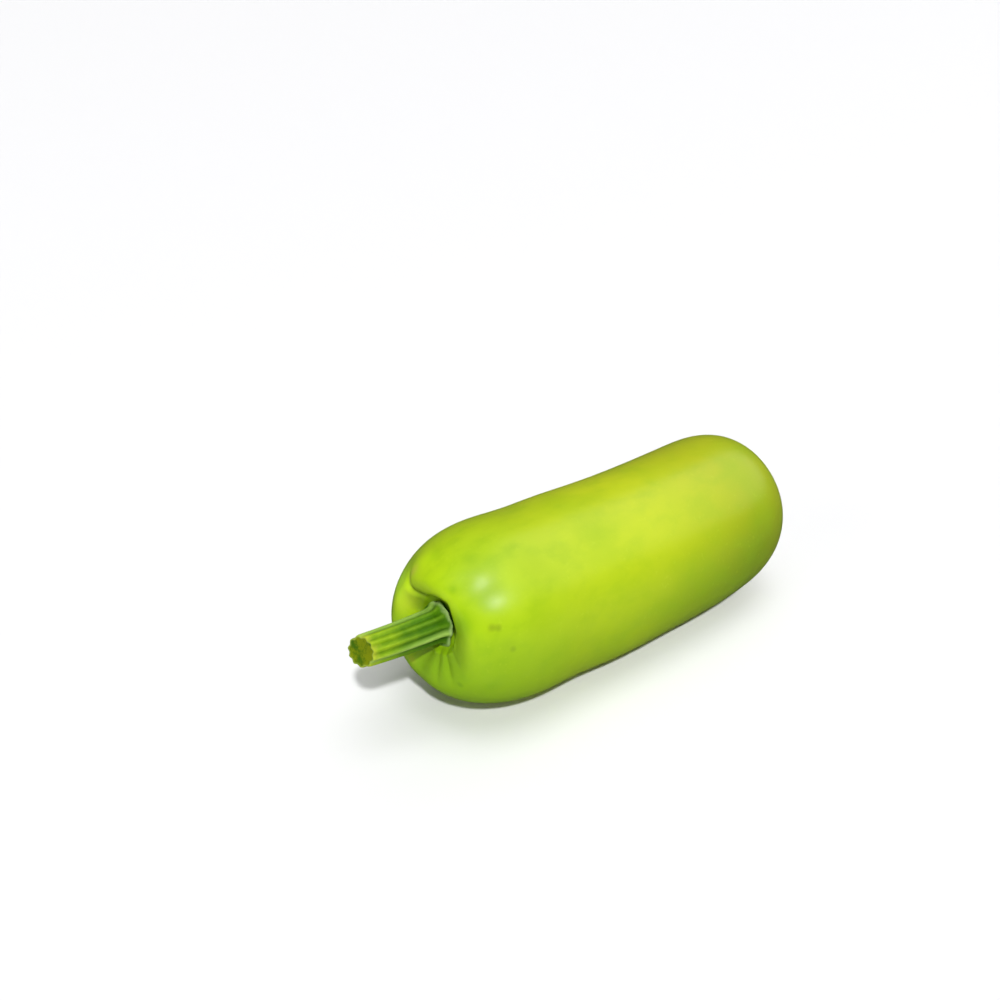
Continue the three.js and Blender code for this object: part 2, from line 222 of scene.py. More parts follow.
fruit = {
    "length": 251.0,
    "stemEndRadius": 50.4,
    "blossomEndRadius": 44.3,
    # the waist and the fullest part are placed and widened by shares of the length
    "waistDepth": 1.5,
    "waistAt": 0.3,
    "waistWidth": 0.09,
    "fullness": 1.4,
    "fullestAt": 0.78,
    "fullnessWidth": 0.18,
    "shoulderLength": 80.0,
    "shoulderPower": 2.6,
    "tipLength": 48.0,
    "tipPower": 3.1,
    "bow": 1.8,
    "sway": 8.0,
    "bellyRadius": 1500.0,      # the belly's lengthwise curve, towards the stem
    "bellyRadiusBlossom": 2000.0,
    "restDepth": 1.2,
    "restSoftness": 0.5,        # how gently the skin turns into the flat that it rests on
    "hollowDepth": 8.5,         # the wide hollow that the stem grows from
    "hollowFloor": 8.0,
    "hollowRim": 31.0,
    "hollowRimShift": 2.0,
    "hollowRimTowards": 200.0,
    "wellDepth": 6.0,           # the steeper part of the hollow, close round the stem
    "wellFloor": 9.5,
    "wellRim": 13.4,
    "wellFloorWidening": 3.0,   # how much wider its floor and its rim are above the stem
    "wellRimWidening": 12.4,
    "wellWidestAt": 112.0,
    "wellSpread": 38.0,
    "wellFilling": 0.45,        # how much shallower it is below the stem
    "wellFilledAt": 275.0,
    "wellFillingSpread": 60.0,
    "farWallDepth": 3.5,        # how much of the well's depth the bowl takes over on the far side
    "farWallAt": 18.0,
    "farWallSpread": 45.0,
    "hollowLift": 4.0,          # how far its middle is moved up and to the side
    "hollowSide": -2.0,
    "hollowShiftFrom": 14.0,
    "hollowShiftTo": 46.0,
    "dimpleDepth": 2.6,         # the shallow dimple at the blossom end
    "dimpleRadius": 15.0,
    "moatRadius": 14.5,         # a faint furrow right round the stem, deepest above it
    "moatWidth": 2.6,
    "moatDepth": 0.3,
    "moatExtra": 0.5,
    "moatDeepestAt": 112.0,
    "moatSpread": 48.0,
    "shoulderFadeFrom": 45.0,
    "shoulderFadeTo": 95.0,
    "dentDepth": 0.45,          # faint uneven growth, always inwards
    "dentSize": 34.0,
    "dentSeed": 11,
    "skinInset": 0.05,          # keeps the skin just inside the part's own solid
    "stationsShoulder": 176,
    "stationsBody": 62,
    "stationsTip": 60,
    "around": 300,
    # creases out of the hollow over the shoulder: a path of [distance from the stem's axis, angle],
    # a depth, a half width at each end and a share of the depth at each of the stops
    "creaseStops": [0, 0.15, 0.6, 1],
    "creaseSharpness": 1.7,
    "creaseSteps": 49,
    "creases": [
        {"path": [[15, 104], [16.5, 84], [17.5, 64], [20, 52], [24, 49], [29, 52], [34, 54]],
         "depth": 2.4, "width": [1.5, 2.6], "shares": [0.1, 0.5, 1, 0]},
        {"path": [[16, 124], [22, 120], [30, 116], [40, 114]],
         "depth": 1.0, "width": [2.0, 4.6], "shares": [1, 1, 0.6, 0]},
        {"path": [[12, 155], [20, 156], [30, 157]],
         "depth": 0.4, "width": [2.6, 6.5], "shares": [1, 0.8, 0.4, 0]},
        {"path": [[11, 214], [17, 212], [27, 209]],
         "depth": 0.5, "width": [1.6, 3.6], "shares": [0.3, 0.8, 0.8, 0]},
        {"path": [[11, 237], [17, 237], [28, 235]],
         "depth": 1.0, "width": [1.5, 3.2], "shares": [0.3, 0.8, 1, 0]},
        {"path": [[11, 260], [17, 261], [29, 262]],
         "depth": 1.2, "width": [1.5, 3.4], "shares": [0.3, 0.8, 1, 0]},
        {"path": [[11, 284], [20, 287], [38, 290]],
         "depth": 2.2, "width": [2.0, 6.4], "shares": [0.4, 1, 0.8, 0]},
        {"path": [[11, 322], [20, 325], [34, 329]],
         "depth": 1.8, "width": [2.4, 7.2], "shares": [1, 1, 0.7, 0]},
        {"path": [[12, 12], [20, 10], [30, 8]],
         "depth": 0.8, "width": [2.6, 7.8], "shares": [1, 1, 0.6, 0]},
    ],
    # swellings and one shallow dip round the hollow
    "lobes": [
        {"out": 30, "angle": -28, "height": 2.2, "radius": 17},
        {"out": 33, "angle": 38, "height": -1.4, "radius": 14},
        {"out": 33, "angle": 92, "height": 0.8, "radius": 16},
        {"out": 36, "angle": 150, "height": 0.6, "radius": 18},
        {"out": 31, "angle": -95, "height": 0.6, "radius": 14},
        {"out": 40, "angle": -64, "height": 2.0, "radius": 13},
    ],
    # the skin's colours on the upper and the lower side, at fractions of the length; the lower
    # side's colours are partly painted shade
    "upperColours": [(0.0, (0.315, 0.475, 0.006)), (0.12, (0.345, 0.49, 0.008)),
                     (0.5, (0.45, 0.53, 0.010)), (0.75, (0.40, 0.455, 0.010)),
                     (1.0, (0.37, 0.43, 0.010))],
    "shadedLowerColours": [(0.0, (0.2, 0.38, 0.004)), (0.12, (0.225, 0.385, 0.004)),
                     (0.3, (0.31, 0.45, 0.004)), (0.5, (0.26, 0.38, 0.005)),
                     (0.8, (0.165, 0.24, 0.005)), (0.9, (0.22, 0.29, 0.006)),
                     (1.0, (0.30, 0.385, 0.008))],
    # painted shade: the lower side is darker where less light reaches it, and this reaches higher
    # towards the blossom end
    "lowerTo": 20,
    "upperFrom": 88,
    "shadeRise": 23,            # how much higher the lower side's colours reach at the blossom end
    # mottling: [size of its swells, noise where it starts, noise where it is full, strength]
    "mottleGreen": (0.2, 0.36, 0.004),
    "broadMottle": [46, 0.42, 0.68, 0.3],
    "smallMottle": [12, 0.44, 0.72, 0.26],
    "smallStretch": (0.6, 1, 1),
    "fleck": (0.48, 0.6, 0.040),
    "flecks": [2.4, 0.6, 0.8, 0.16],
    # what grows from nothing at the first value to full at the second, and its strength
    # painted shade in the well round the stem, darker with its depth
    "wellShadeGreen": (0.17, 0.3, 0.004),
    "wellShade": [0.1, 0.8, 0.35],
    # painted shade in the creases, darker with their depth
    "creaseShadeGreen": (0.1, 0.17, 0.002),
    "creaseShade": [0.12, 0.9, 0.7],
    "creaseFullDepth": 4.0,     # the depth at which a crease's mark is 1
    # what is full up to the first value and gone at the second, and its strength
    "shoulderMottle": [0.08, 0.4, 0.2],
    # partly the skin's own greener colour round the stem, partly painted shade in the hollow round
    # it
    "collarGreenAndShade": (0.12, 0.25, 0.003),
    "collarTint": [12.5, 31, 0.42],
    "groundYellow": (0.44, 0.5, 0.12),
    "groundStain": [3, 16, 0.6],
    # small patches: [distance walked over the skin from the stem's pole, angle, radius, colour,
    # strength]
    "patches": [
        # painted light: the flap beside the stem brightened where light falls on it
        [22.8, 27, 14.0, (0.51, 0.66, 0.014), 0.85],
        [34.0, 33, 14.0, (0.41, 0.74, 0.015), 0.8],
        [34.0, 62, 4.5, (0.44, 0.4, 0.060), 0.5],
        [25.0, 303, 3.5, (0.4, 0.42, 0.020), 0.4],
        [42.4, 153, 2.6, (0.18, 0.26, 0.008), 0.65],
        [45.2, 155, 2.6, (0.18, 0.26, 0.008), 0.65],
        [50.4, 171.6, 2.1, (0.16, 0.24, 0.008), 0.5],
        # painted shade right of the collar, where the hollow's wall is turned from the light
        [26.0, 145, 11.0, (0.12, 0.27, 0.003), 0.6],
        [48.4, 130, 12.0, (0.20, 0.34, 0.004), 0.6],
        [40.0, 73, 10.0, (0.45, 0.66, 0.008), 0.5],
        [74.0, 131, 18.0, (0.30, 0.42, 0.006), 0.4],
        [68.0, 158, 15.0, (0.26, 0.40, 0.005), 0.4],
        [48.0, 168, 6.0, (0.2, 0.34, 0.008), 0.3],
        [52.0, 104.4, 6.5, (0.2, 0.36, 0.006), 0.45],
        [34.4, 114, 3.6, (0.16, 0.32, 0.004), 0.5],
        [26.8, 215, 5.0, (0.14, 0.32, 0.004), 0.2],
        [42.4, 207, 6.0, (0.16, 0.32, 0.004), 0.35],
        [25.5, 282, 6.0, (0.14, 0.32, 0.004), 0.25],
        [28.6, 226, 2.4, (0.1, 0.22, 0.004), 0.5],
    ],
    "patchWander": 0.8,         # how far the small mottling moves a patch's edge
    "roughness": 0.31,
    "roughnessSpread": 0.12,
    "roughnessSize": 14,
    "gloss": 0.24,
    "glow": 0.05,               # light that passes under the skin
    "glowColours": (0.5, 1.0, 0.1),
    "glowDepth": 4,
    "peelSize": 3.2,
    "peelShare": 0.8,
    "poreSize": 0.8,
    "poreShare": 0.2,
    "bumpDepth": 0.12,
    "bumpStrength": 0.35,
}


def evenRadius(along):
    # from the stem end to the blossom end, without the waist and the fullest part
    t = along / fruit["length"]
    return fruit["stemEndRadius"] * (1 - t) + fruit["blossomEndRadius"] * t


def bodyRadius(along):
    t = along / fruit["length"]
    return (evenRadius(along)
            - fruit["waistDepth"] * bell(t - fruit["waistAt"], fruit["waistWidth"])
            + fruit["fullness"] * bell(t - fruit["fullestAt"], fruit["fullnessWidth"]))


def fruitOutline():
    # radius and distance from the stem end, without the two points on the axis
    length, shoulder, tip = fruit["length"], fruit["shoulderLength"], fruit["tipLength"]
    shoulderBend, tipBend = 2 / fruit["shoulderPower"], 2 / fruit["tipPower"]
    turn = np.linspace(0, math.pi / 2, fruit["stationsShoulder"] + 1)[1:]
    back = np.linspace(math.pi / 2, 0, fruit["stationsTip"] + 1)[:-1]
    body = np.linspace(shoulder, length - tip, fruit["stationsBody"] + 2)[1:-1]
    along = np.concatenate([shoulder * (1 - np.maximum(np.cos(turn), 0) ** shoulderBend), body,
                            length - tip * (1 - np.maximum(np.cos(back), 0) ** tipBend)])
    share = np.concatenate([np.sin(turn) ** shoulderBend, np.ones(len(body)),
                            np.sin(back) ** tipBend])
    return bodyRadius(along) * share, along


def axisSide(along):
    # a slight bow, and a sway to one side and then to the other
    s = 2 * along / fruit["length"] - 1
    return fruit["bow"] * (2 / 3 - (1 - s * s)) - fruit["sway"] * s * (1 - s * s)


def axisHeight(along):
    middle = fruit["length"] / 2
    curve = np.where(along < middle, fruit["bellyRadius"], fruit["bellyRadiusBlossom"])
    return evenRadius(along) - fruit["restDepth"] + (along - middle) ** 2 / (2 * curve)


def farWallDepth(angle):
    turn = turnFrom(angle, fruit["farWallAt"])
    return fruit["farWallDepth"] * bell(turn, fruit["farWallSpread"])


def wellSink(radius, angle):
    wider = bell(turnFrom(angle, fruit["wellWidestAt"]), fruit["wellSpread"])
    floor = fruit["wellFloor"] + fruit["wellFloorWidening"] * wider
    rim = fruit["wellRim"] + fruit["wellRimWidening"] * wider
    below = turnFrom(angle, fruit["wellFilledAt"])
    filled = fruit["wellFilling"] * bell(below, fruit["wellFillingSpread"])
    depth = fruit["wellDepth"] * (1 - filled * smooth(0, fruit["wellFloor"], radius))
    return (depth - farWallDepth(angle)) * (1 - smooth(floor, rim, radius))


def endSink(radius, along, angle):
    # how far each end is pushed in along the axis: the stem's hollow and the blossom's dimple
    inside = np.maximum(0, 1 - (radius / fruit["dimpleRadius"]) ** 2)
    towards = math.radians(fruit["hollowRimTowards"])
    rim = fruit["hollowRim"] + fruit["hollowRimShift"] * np.cos(angle - towards)
    depth = fruit["hollowDepth"] + farWallDepth(angle)
    bowl = depth * (1 - smooth(fruit["hollowFloor"], rim, radius))
    return np.where(along > fruit["length"] / 2, -fruit["dimpleDepth"] * inside ** 2,
                    bowl + wellSink(radius, angle))


def creaseHeights(a, b):
    # what all creases add along the skin's normal, at points of the end plane
    total = np.zeros_like(a)
    for crease in fruit["creases"]:
        trace = throughPoints([polar(*step) for step in crease["path"]], fruit["creaseSteps"])
        best = np.full(a.shape, np.inf)
        at = np.zeros(a.shape)
        for i in range(len(trace) - 1):
            fromA, fromB = a - trace[i][0], b - trace[i][1]
            step = trace[i + 1] - trace[i]
            t = np.clip((fromA * step[0] + fromB * step[1]) / (step @ step), 0, 1)
            apart = np.hypot(fromA - t * step[0], fromB - t * step[1])
            nearer = apart < best
            best = np.where(nearer, apart, best)
            at = np.where(nearer, (i + t) / (len(trace) - 1), at)
        width = crease["width"][0] + (crease["width"][1] - crease["width"][0]) * at
        share = np.interp(at, fruit["creaseStops"], crease["shares"])
        total -= crease["depth"] * share * bell(best, width, fruit["creaseSharpness"])
    return total


def moatHeights(a, b):
    turn = turnFrom(np.arctan2(b, a), fruit["moatDeepestAt"])
    depth = fruit["moatDepth"] + fruit["moatExtra"] * bell(turn, fruit["moatSpread"])
    return -depth * bell(np.hypot(a, b) - fruit["moatRadius"], fruit["moatWidth"])


def lobeHeights(a, b):
    total = np.zeros_like(a)
    for lobe in fruit["lobes"]:
        middle = polar(lobe["out"], lobe["angle"])
        total += lobe["height"] * bell(np.hypot(a - middle[0], b - middle[1]), lobe["radius"])
    return total


def fruitShape():
    radius, along = fruitOutline()
    angle = np.linspace(0, 2 * math.pi, fruit["around"], endpoint=False)
    radius, along, angle = radius[:, None], along[:, None], angle[None, :]
    sunk = along + endSink(radius, along, angle)
    rise = np.gradient(radius[:, 0])[:, None]
    run = np.gradient(sunk, axis=0)
    slope = np.hypot(rise, run)
    a, b = radius * np.cos(angle), radius * np.sin(angle)
    fade = 1 - smooth(fruit["shoulderFadeFrom"], fruit["shoulderFadeTo"], along)
    creases, moat = creaseHeights(a, b) * fade, moatHeights(a, b) * fade
    growth = np.stack(np.broadcast_arrays(along, a, b), -1)
    dents = fruit["dentDepth"] * softWaves(fruit["dentSeed"], growth, fruit["dentSize"])
    height = creases + moat + lobeHeights(a, b) * fade - dents - fruit["skinInset"]
    out = radius + height * run / slope
    stemward = along < fruit["length"] / 2
    shift = 1 - smooth(fruit["hollowShiftFrom"], fruit["hollowShiftTo"], radius)
    shift = np.where(stemward, shift, 0)
    x = sunk - height * rise / slope - fruit["length"] / 2
    y = axisSide(along) + out * np.cos(angle) + fruit["hollowSide"] * shift
    z = axisHeight(along) + out * np.sin(angle) + fruit["hollowLift"] * shift
    z = (z + np.sqrt(z * z + fruit["restSoftness"] ** 2)) / 2
    marks = {
        "along": along / fruit["length"],
        "crease": np.clip(-(creases + moat) / fruit["creaseFullDepth"], 0, 1),
        "well": np.where(stemward, wellSink(radius, angle) / fruit["wellDepth"], 0),
        "walk": np.cumsum(np.hypot(rise[:, 0], np.gradient(along[:, 0])))[:, None],
    }
    return np.stack([x, y, z], -1), marks


def skinSpot(rings, walk, away, angle):
    # the skin's point this far from the stem's pole, walking over it, at this angle
    i = int(np.argmin(np.abs(walk[:, 0] - away)))
    j = round(angle / 360 * rings.shape[1]) % rings.shape[1]
    return tuple(rings[i, j])


def skinMaterial(rings, walk):
    board = Board("gourdSkin", {
        "Specular IOR Level": fruit["gloss"],
        "Subsurface Weight": fruit["glow"],
        "Subsurface Radius": fruit["glowColours"],
        "Subsurface Scale": fruit["glowDepth"] * millimetre,
    })
    place = board.place()
    height = board.node("ShaderNodeSeparateXYZ", None, {0: place}, output="Z")
    along = board.mark("along")

    def growing(value, name):
        start, full, strength = fruit[name]
        return board.ease(value, start, full) * strength

    def fading(value, name):
        full, gone, strength = fruit[name]
        return (1 - board.ease(value, full, gone)) * strength

    # painted shade: the lower side's darker colours, partly the skin's greener underside
    upper = board.ease(height - along * fruit["shadeRise"], fruit["lowerTo"], fruit["upperFrom"])
    colour = board.blend(board.ramp(along, fruit["shadedLowerColours"]),
                         board.ramp(along, fruit["upperColours"]), upper)
    size, start, full, strength = fruit["broadMottle"]
    broad = board.ease(board.noise(place, size, detail=3.0, roughness=0.55), start, full)
    colour = board.blend(colour, fruit["mottleGreen"], broad * strength)
    size, start, full, strength = fruit["smallMottle"]
    streaky = board.stretched(place, fruit["smallStretch"])
    small = board.ease(board.noise(streaky, size, detail=4.0, roughness=0.55), start, full)
    colour = board.blend(colour, fruit["mottleGreen"],
                         small * (strength + fading(along, "shoulderMottle")))
    size, start, full, strength = fruit["flecks"]
    flecks = board.ease(board.noise(place, size), start, full)
    colour = board.blend(colour, fruit["fleck"], flecks * strength)
    # the greener ring round the stem, partly painted shade in its hollow
    colour = board.blend(colour, fruit["collarGreenAndShade"], fading(board.mark("walk"), "collarTint"))
    # painted shade in the well round the stem
    colour = board.blend(colour, fruit["wellShadeGreen"], growing(board.mark("well"), "wellShade"))
    # painted shade in the creases
    colour = board.blend(colour, fruit["creaseShadeGreen"], growing(board.mark("crease"), "creaseShade"))
    for away, angle, radius, tint, strength in fruit["patches"]:
        apart = board.distance(place, skinSpot(rings, walk, away, angle))
        apart = apart + (small - 0.5) * fruit["patchWander"]
        colour = board.blend(colour, tint, (1 - board.ease(apart, 0, radius)) * strength)
    colour = board.blend(colour, fruit["groundYellow"], fading(height, "groundStain"))
    board.feed("Base Color", colour)
    uneven = board.noise(place, fruit["roughnessSize"], detail=3.0, roughness=0.6)
    board.feed("Roughness", fruit["roughness"] + (uneven - 0.5) * fruit["roughnessSpread"])
    peel = board.noise(place, fruit["peelSize"]) * fruit["peelShare"]
    pores = board.noise(place, fruit["poreSize"], roughness=0.6) * fruit["poreShare"]
    board.feed("Normal", board.bump(peel + pores, fruit["bumpDepth"], fruit["bumpStrength"]))
    return board.material


def makeFruit():
    rings, marks = fruitShape()
    piece = closedMesh("gourdFruit", rings, rings[0].mean(0), rings[-1].mean(0), marks)
    piece.data.materials.append(skinMaterial(rings, marks["walk"]))
    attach(piece, "root")
    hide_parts("fruit")
    print("fruit made:", len(piece.data.polygons), "faces")


# The stem

stem = {
    "root": (-105.0, 1.0, 58.6),
    "bend": (-130.0, 2.4, 59.0),
    "cut": (-153.2, 8.8, 58.2),
    "lineSteps": 400,
    "baseRadius": 8.5,
    "cutRadius": 7.5,
    "thinningPower": 0.7,
    "ridges": 11,
    "ridgeTurn": 96.0,          # the direction of one ridge
    "ridgeSwerve": 6.0,         # how unevenly the others follow, in degrees
    "ridgeHeight": 0.6,
    "ridgeHeightAtCut": 0.4,
    "ridgesFrom": -1.0,
    "ridgesFull": 3.0,
    "fibres": 70,
    "fibreHeight": 0.05,
    "fibreSwerve": 3,
    "collarRadius": 11.8,
    "collarAt": 7.3,
    "collarWidth": 1.6,
    "collarRootPower": 2.0,
    "collarStemPower": 1.3,
    "collarScallop": 0.12,
    # where the collar reaches out more or less: [angle, height, half width in degrees]
    "collarBumps": [[38, 2.0, 18], [105, 1.0, 24], [148, 0.6, 14], [198, -1.6, 24], [240, 0.9, 16]],
    "cutTilt": 27.0,
    "cutSlantFrom": 0.45,
    "cutFacing": (-0.615, -0.645, 0.454),
    "cutHollow": 0.7,
    "cutEdge": 0.45,
    "cutEdgeRounding": 0.6,
    # rings along it, closest round the collar: [from, to, how many], at fractions of the length
    "stations": [[0, 0.09, 8], [0.09, 0.26, 46], [0.26, 1, 110]],
    "cutStations": 26,
    "around": 240,
    # lines along it, pale ones of painted sheen and dark ones of painted shade: [strength, angle,
    # how far it drifts towards the cut, half width]
    "sheenLines": [[0.8, 66, 0, 13], [1.0, 182, 18, 10]],
    "shadedSides": [[0.7, 207, 28, 16], [0.4, 150, 8, 28]],
    # the rind's colours from furrow to ridge, beside the collar and beside the cut; the furrows'
    # darker colours are partly painted shade
    "collarEndColours": [(0.0, (0.020, 0.080, 0.002)), (0.5, (0.068, 0.178, 0.003)),
                         (1.0, (0.145, 0.28, 0.014))],
    "cutEndColours": [(0.0, (0.070, 0.175, 0.002)), (0.5, (0.175, 0.305, 0.004)),
                      (1.0, (0.280, 0.415, 0.012))],
    "ridgeShare": 0.5,
    "streakShare": 0.25,
    "patchShare": 0.4,
    "toneShift": -0.06,
    "streakSize": 0.9,
    "streakStretch": (0.12, 1.0, 1.0),
    "mottleSize": 2.2,
    "patchSize": 6.0,
    # what grows from nothing at the first value to full at the second, its strength, and how much
    # the patches move its edge
    "endChange": [0.25, 0.95, 1, 0.5],
    "dryingTint": (0.42, 0.42, 0.040),
    "drying": [0.85, 1.1, 0.5, 0.6],
    "collarPale": (0.26, 0.38, 0.12),
    "collarTint": [0.45, 0.95, 0.8, 0.9],
    # painted shade on the stem's lower side and near side, strongest beside the collar
    "underside": (0.020, 0.075, 0.002),
    # painted sheen along the stem's top edge, where light catches the fuzz, and painted reflected
    # light from the floor along its lower side
    "sheenColour": (0.27, 0.42, 0.080),
    "sheenEven": 0.45,
    "sheenStreaks": 0.7,
    # the cut face, mottled from dark to brown inside a paler rim
    "cutDark": (0.040, 0.105, 0.002),
    "cutBrown": (0.15, 0.19, 0.002),
    "cutMottle": [0.4, 0.62],
    "cutRim": (0.26, 0.34, 0.060),
    "cutRimFrom": 0.93,
    "cutRimTo": 1.04,
    "cutRimWander": 0.1,
    "cutRimStrength": 0.7,
    "roughness": 0.6,
    "cutRoughness": 0.3,        # added on the cut face
    "gloss": 0.1,
    "bumpDepth": 0.3,
    "bumpStrength": 0.5,
}


def stemCentres(fractions):
    # points and directions of the stem's line at fractions of its length
    a, b, c = (np.array(stem[key]) for key in ("root", "bend", "cut"))
    t = np.linspace(0, 1, stem["lineSteps"])[:, None]
    line = (1 - t) ** 2 * a + 2 * t * (1 - t) * b + t ** 2 * c
    steps = np.linalg.norm(np.diff(line, axis=0), axis=1)
    gone = np.concatenate([[0], np.cumsum(steps)])
    at = np.interp(fractions * gone[-1], gone, t[:, 0])[:, None]
    centre = (1 - at) ** 2 * a + 2 * at * (1 - at) * b + at ** 2 * c
    tangent = 2 * (1 - at) * (b - a) + 2 * at * (c - b)
    return centre, tangent / np.linalg.norm(tangent, axis=1)[:, None], gone[-1]


def stemLines(angle, outward, lines):
    return sum(strength * bell(turnFrom(angle, at + drift * outward), wide)
               for strength, at, drift, wide in lines)


def stemShape():
    parts = [np.linspace(*part) for part in stem["stations"]]
    along = np.concatenate([parts[0]] + [part[1:] for part in parts[1:]])
    inward = np.linspace(1, 0, stem["cutStations"])[1:-1]
    rim = np.concatenate([np.ones(len(along)), inward])[:, None]
    onCut = rim < 1
    t = np.concatenate([along, np.ones(len(inward))])
    centre, tangent, length = stemCentres(t)
    t = t[:, None]
    side = np.cross(tangent, [0, 0, 1.0])
    side /= np.linalg.norm(side, axis=1)[:, None]
    over = np.cross(side, tangent)
    angle = np.linspace(0, 2 * math.pi, stem["around"], endpoint=False)[None, :]
    fromCollar = t * length - stem["collarAt"]
    outward = np.clip(fromCollar / (length - stem["collarAt"]), 0, 1)
    turn = angle - math.radians(stem["ridgeTurn"])
    swerve = math.radians(stem["ridgeSwerve"]) * np.sin(turn) ** 2
    wave = np.cos(stem["ridges"] * (turn + swerve))
    fade = smooth(stem["ridgesFrom"], stem["ridgesFull"], fromCollar)
    ridge = stem["ridgeHeight"] * (1 - outward) + stem["ridgeHeightAtCut"] * outward
    fibres = np.cos(stem["fibres"] * angle + stem["fibreSwerve"] * np.sin(2 * angle)) - 1
    power = np.where(fromCollar < 0, stem["collarRootPower"], stem["collarStemPower"])
    flare = bell(fromCollar, stem["collarWidth"], power)
    bumps = sum(height * bell(turnFrom(angle, at), wide)
                for at, height, wide in stem["collarBumps"])
    scallop = 1 - stem["collarScallop"] + stem["collarScallop"] * wave
    thin = outward ** stem["thinningPower"]
    radius = (stem["baseRadius"] * (1 - thin) + stem["cutRadius"] * thin
              + ridge * fade * wave + stem["fibreHeight"] * fade * fibres
              + flare * ((stem["collarRadius"] - stem["baseRadius"]) * scallop + bumps))
    facing = np.arctan2(over @ stem["cutFacing"], side @ stem["cutFacing"])[:, None]
    tilt = math.tan(math.radians(stem["cutTilt"])) * smooth(stem["cutSlantFrom"], 1, t)
    edge = stem["cutEdge"] * smooth(1 - 2 * stem["cutEdge"] / length, 1, t) * ~onCut
    flat = rim * (radius - stem["cutEdge"] * onCut - edge * stem["cutEdgeRounding"])
    slant = -tilt * flat * np.cos(angle - facing) - stem["cutHollow"] * (1 - rim ** 2) * onCut
    points = (centre[:, None, :] + tangent[:, None, :] * slant[..., None]
              + side[:, None, :] * (flat * np.cos(angle))[..., None]
              + over[:, None, :] * (flat * np.sin(angle))[..., None])
    marks = {
        "along": outward,
        "ridge": 0.5 + 0.5 * wave * fade,
        "collar": flare,
        "pale": stemLines(angle, outward, stem["sheenLines"]),
        "dark": stemLines(angle, outward, stem["shadedSides"]) * (1 - outward),
        "cut": onCut,
        "fromPith": rim,
    }
    root = stemCentres(np.array([0.0]))[0][0]
    return points, root, points[-1].mean(0), marks


def stemMaterial():
    board = Board("stemRind", {"Specular IOR Level": stem["gloss"]})
    place = board.place()
    along = board.mark("along")
    streaks = board.noise(board.stretched(place, stem["streakStretch"]), stem["streakSize"],
                          detail=3.0, roughness=0.6)
    mottled = board.noise(place, stem["mottleSize"], detail=4.0, roughness=0.65)
    patches = board.noise(place, stem["patchSize"])

    def growing(value, name):
        start, full, strength, wander = stem[name]
        return board.ease(value + (patches - 0.5) * wander, start, full) * strength

    # the furrows' dark end of the ramps is partly painted shade
    tone = (board.mark("ridge") * stem["ridgeShare"] + streaks * stem["streakShare"]
            + patches * stem["patchShare"] + stem["toneShift"])
    colour = board.blend(board.ramp(tone, stem["collarEndColours"]),
                         board.ramp(tone, stem["cutEndColours"]), growing(along, "endChange"))
    colour = board.blend(colour, stem["dryingTint"], growing(along, "drying"))
    # painted shade along the stem's lower side and near side
    colour = board.blend(colour, stem["underside"], board.mark("dark"))
    # painted sheen and painted reflected light in pale lines along the stem
    streaky = stem["sheenEven"] + streaks * stem["sheenStreaks"]
    colour = board.blend(colour, stem["sheenColour"], board.mark("pale") * streaky)
    colour = board.blend(colour, stem["collarPale"], growing(board.mark("collar"), "collarTint"))
    cut = board.blend(stem["cutDark"], stem["cutBrown"],
                      board.ease((patches + mottled) * 0.5, *stem["cutMottle"]))
    rim = board.ease(board.mark("fromPith") + mottled * stem["cutRimWander"],
                     stem["cutRimFrom"], stem["cutRimTo"])
    cut = board.blend(cut, stem["cutRim"], rim * stem["cutRimStrength"])
    board.feed("Base Color", board.blend(colour, cut, board.mark("cut")))
    board.feed("Roughness", stem["roughness"] + board.mark("cut") * stem["cutRoughness"])
    board.feed("Normal", board.bump((streaks + mottled) * 0.5, stem["bumpDepth"],
                                    stem["bumpStrength"]))
    return board.material


def makeStem():
    points, root, cutMiddle, marks = stemShape()
    piece = closedMesh("gourdStem", points, root, cutMiddle, marks)
    piece.data.materials.append(stemMaterial())
    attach(piece, "root")
    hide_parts("stem")
    print("stem made:", len(piece.data.polygons), "faces")


# The blossom scar

scar = {
    # [radius, distance out from the dimple's floor], from its root to its tip
    "outline": [[0, -3], [2.4, -2.6], [3.6, -0.8], [4.7, 0], [4.5, 0.8], [3, 1.1], [1.7, 1.2],
                [1.1, 2], [0, 2.3]],
    "radius": 4.7,
    "leastRadius": 0.05,
    "leastCracked": 0.04,
    "waves": 7,
    "wave": 0.05,
    "cracks": 17,
    "crackDepth": 0.12,
    "crackSwerve": 1.3,
    "crackSharpness": 4,
    "steps": 60,
    "around": 140,
    "colours": [(0.25, (0.09, 0.05, 0.018)), (0.6, (0.24, 0.15, 0.05)),
                (0.9, (0.38, 0.27, 0.11))],
    "grainSize": 0.7,
    "grainShare": 0.7,
    "wornShare": 0.4,           # how much paler it is towards its rim
    "roughness": 0.75,
    "roughnessSpread": 0.2,
    "gloss": 0.3,
    "bumpDepth": 0.3,
    "bumpStrength": 0.8,
}


def scarShape():
    outline = throughPoints(scar["outline"], scar["steps"])[1:-1]
    angle = np.linspace(0, 2 * math.pi, scar["around"], endpoint=False)[None, :]
    out = outline[:, 1:]
    turned = scar["cracks"] / 2 * angle + scar["crackSwerve"] * np.sin(3 * angle)
    cracks = scar["crackDepth"] * np.abs(np.sin(turned)) ** scar["crackSharpness"]
    radius = np.maximum(outline[:, :1], scar["leastRadius"])
    radius = radius * (1 + scar["wave"] * np.cos(scar["waves"] * angle)) - cracks
    radius = np.maximum(radius, scar["leastCracked"])
    length = fruit["length"]
    x = length / 2 - fruit["dimpleDepth"] + out - cracks
    y = axisSide(length) + radius * np.sin(angle)
    z = axisHeight(length) + radius * np.cos(angle)
    return np.stack([x, y, z], -1), {"worn": outline[:, :1] / scar["radius"]}


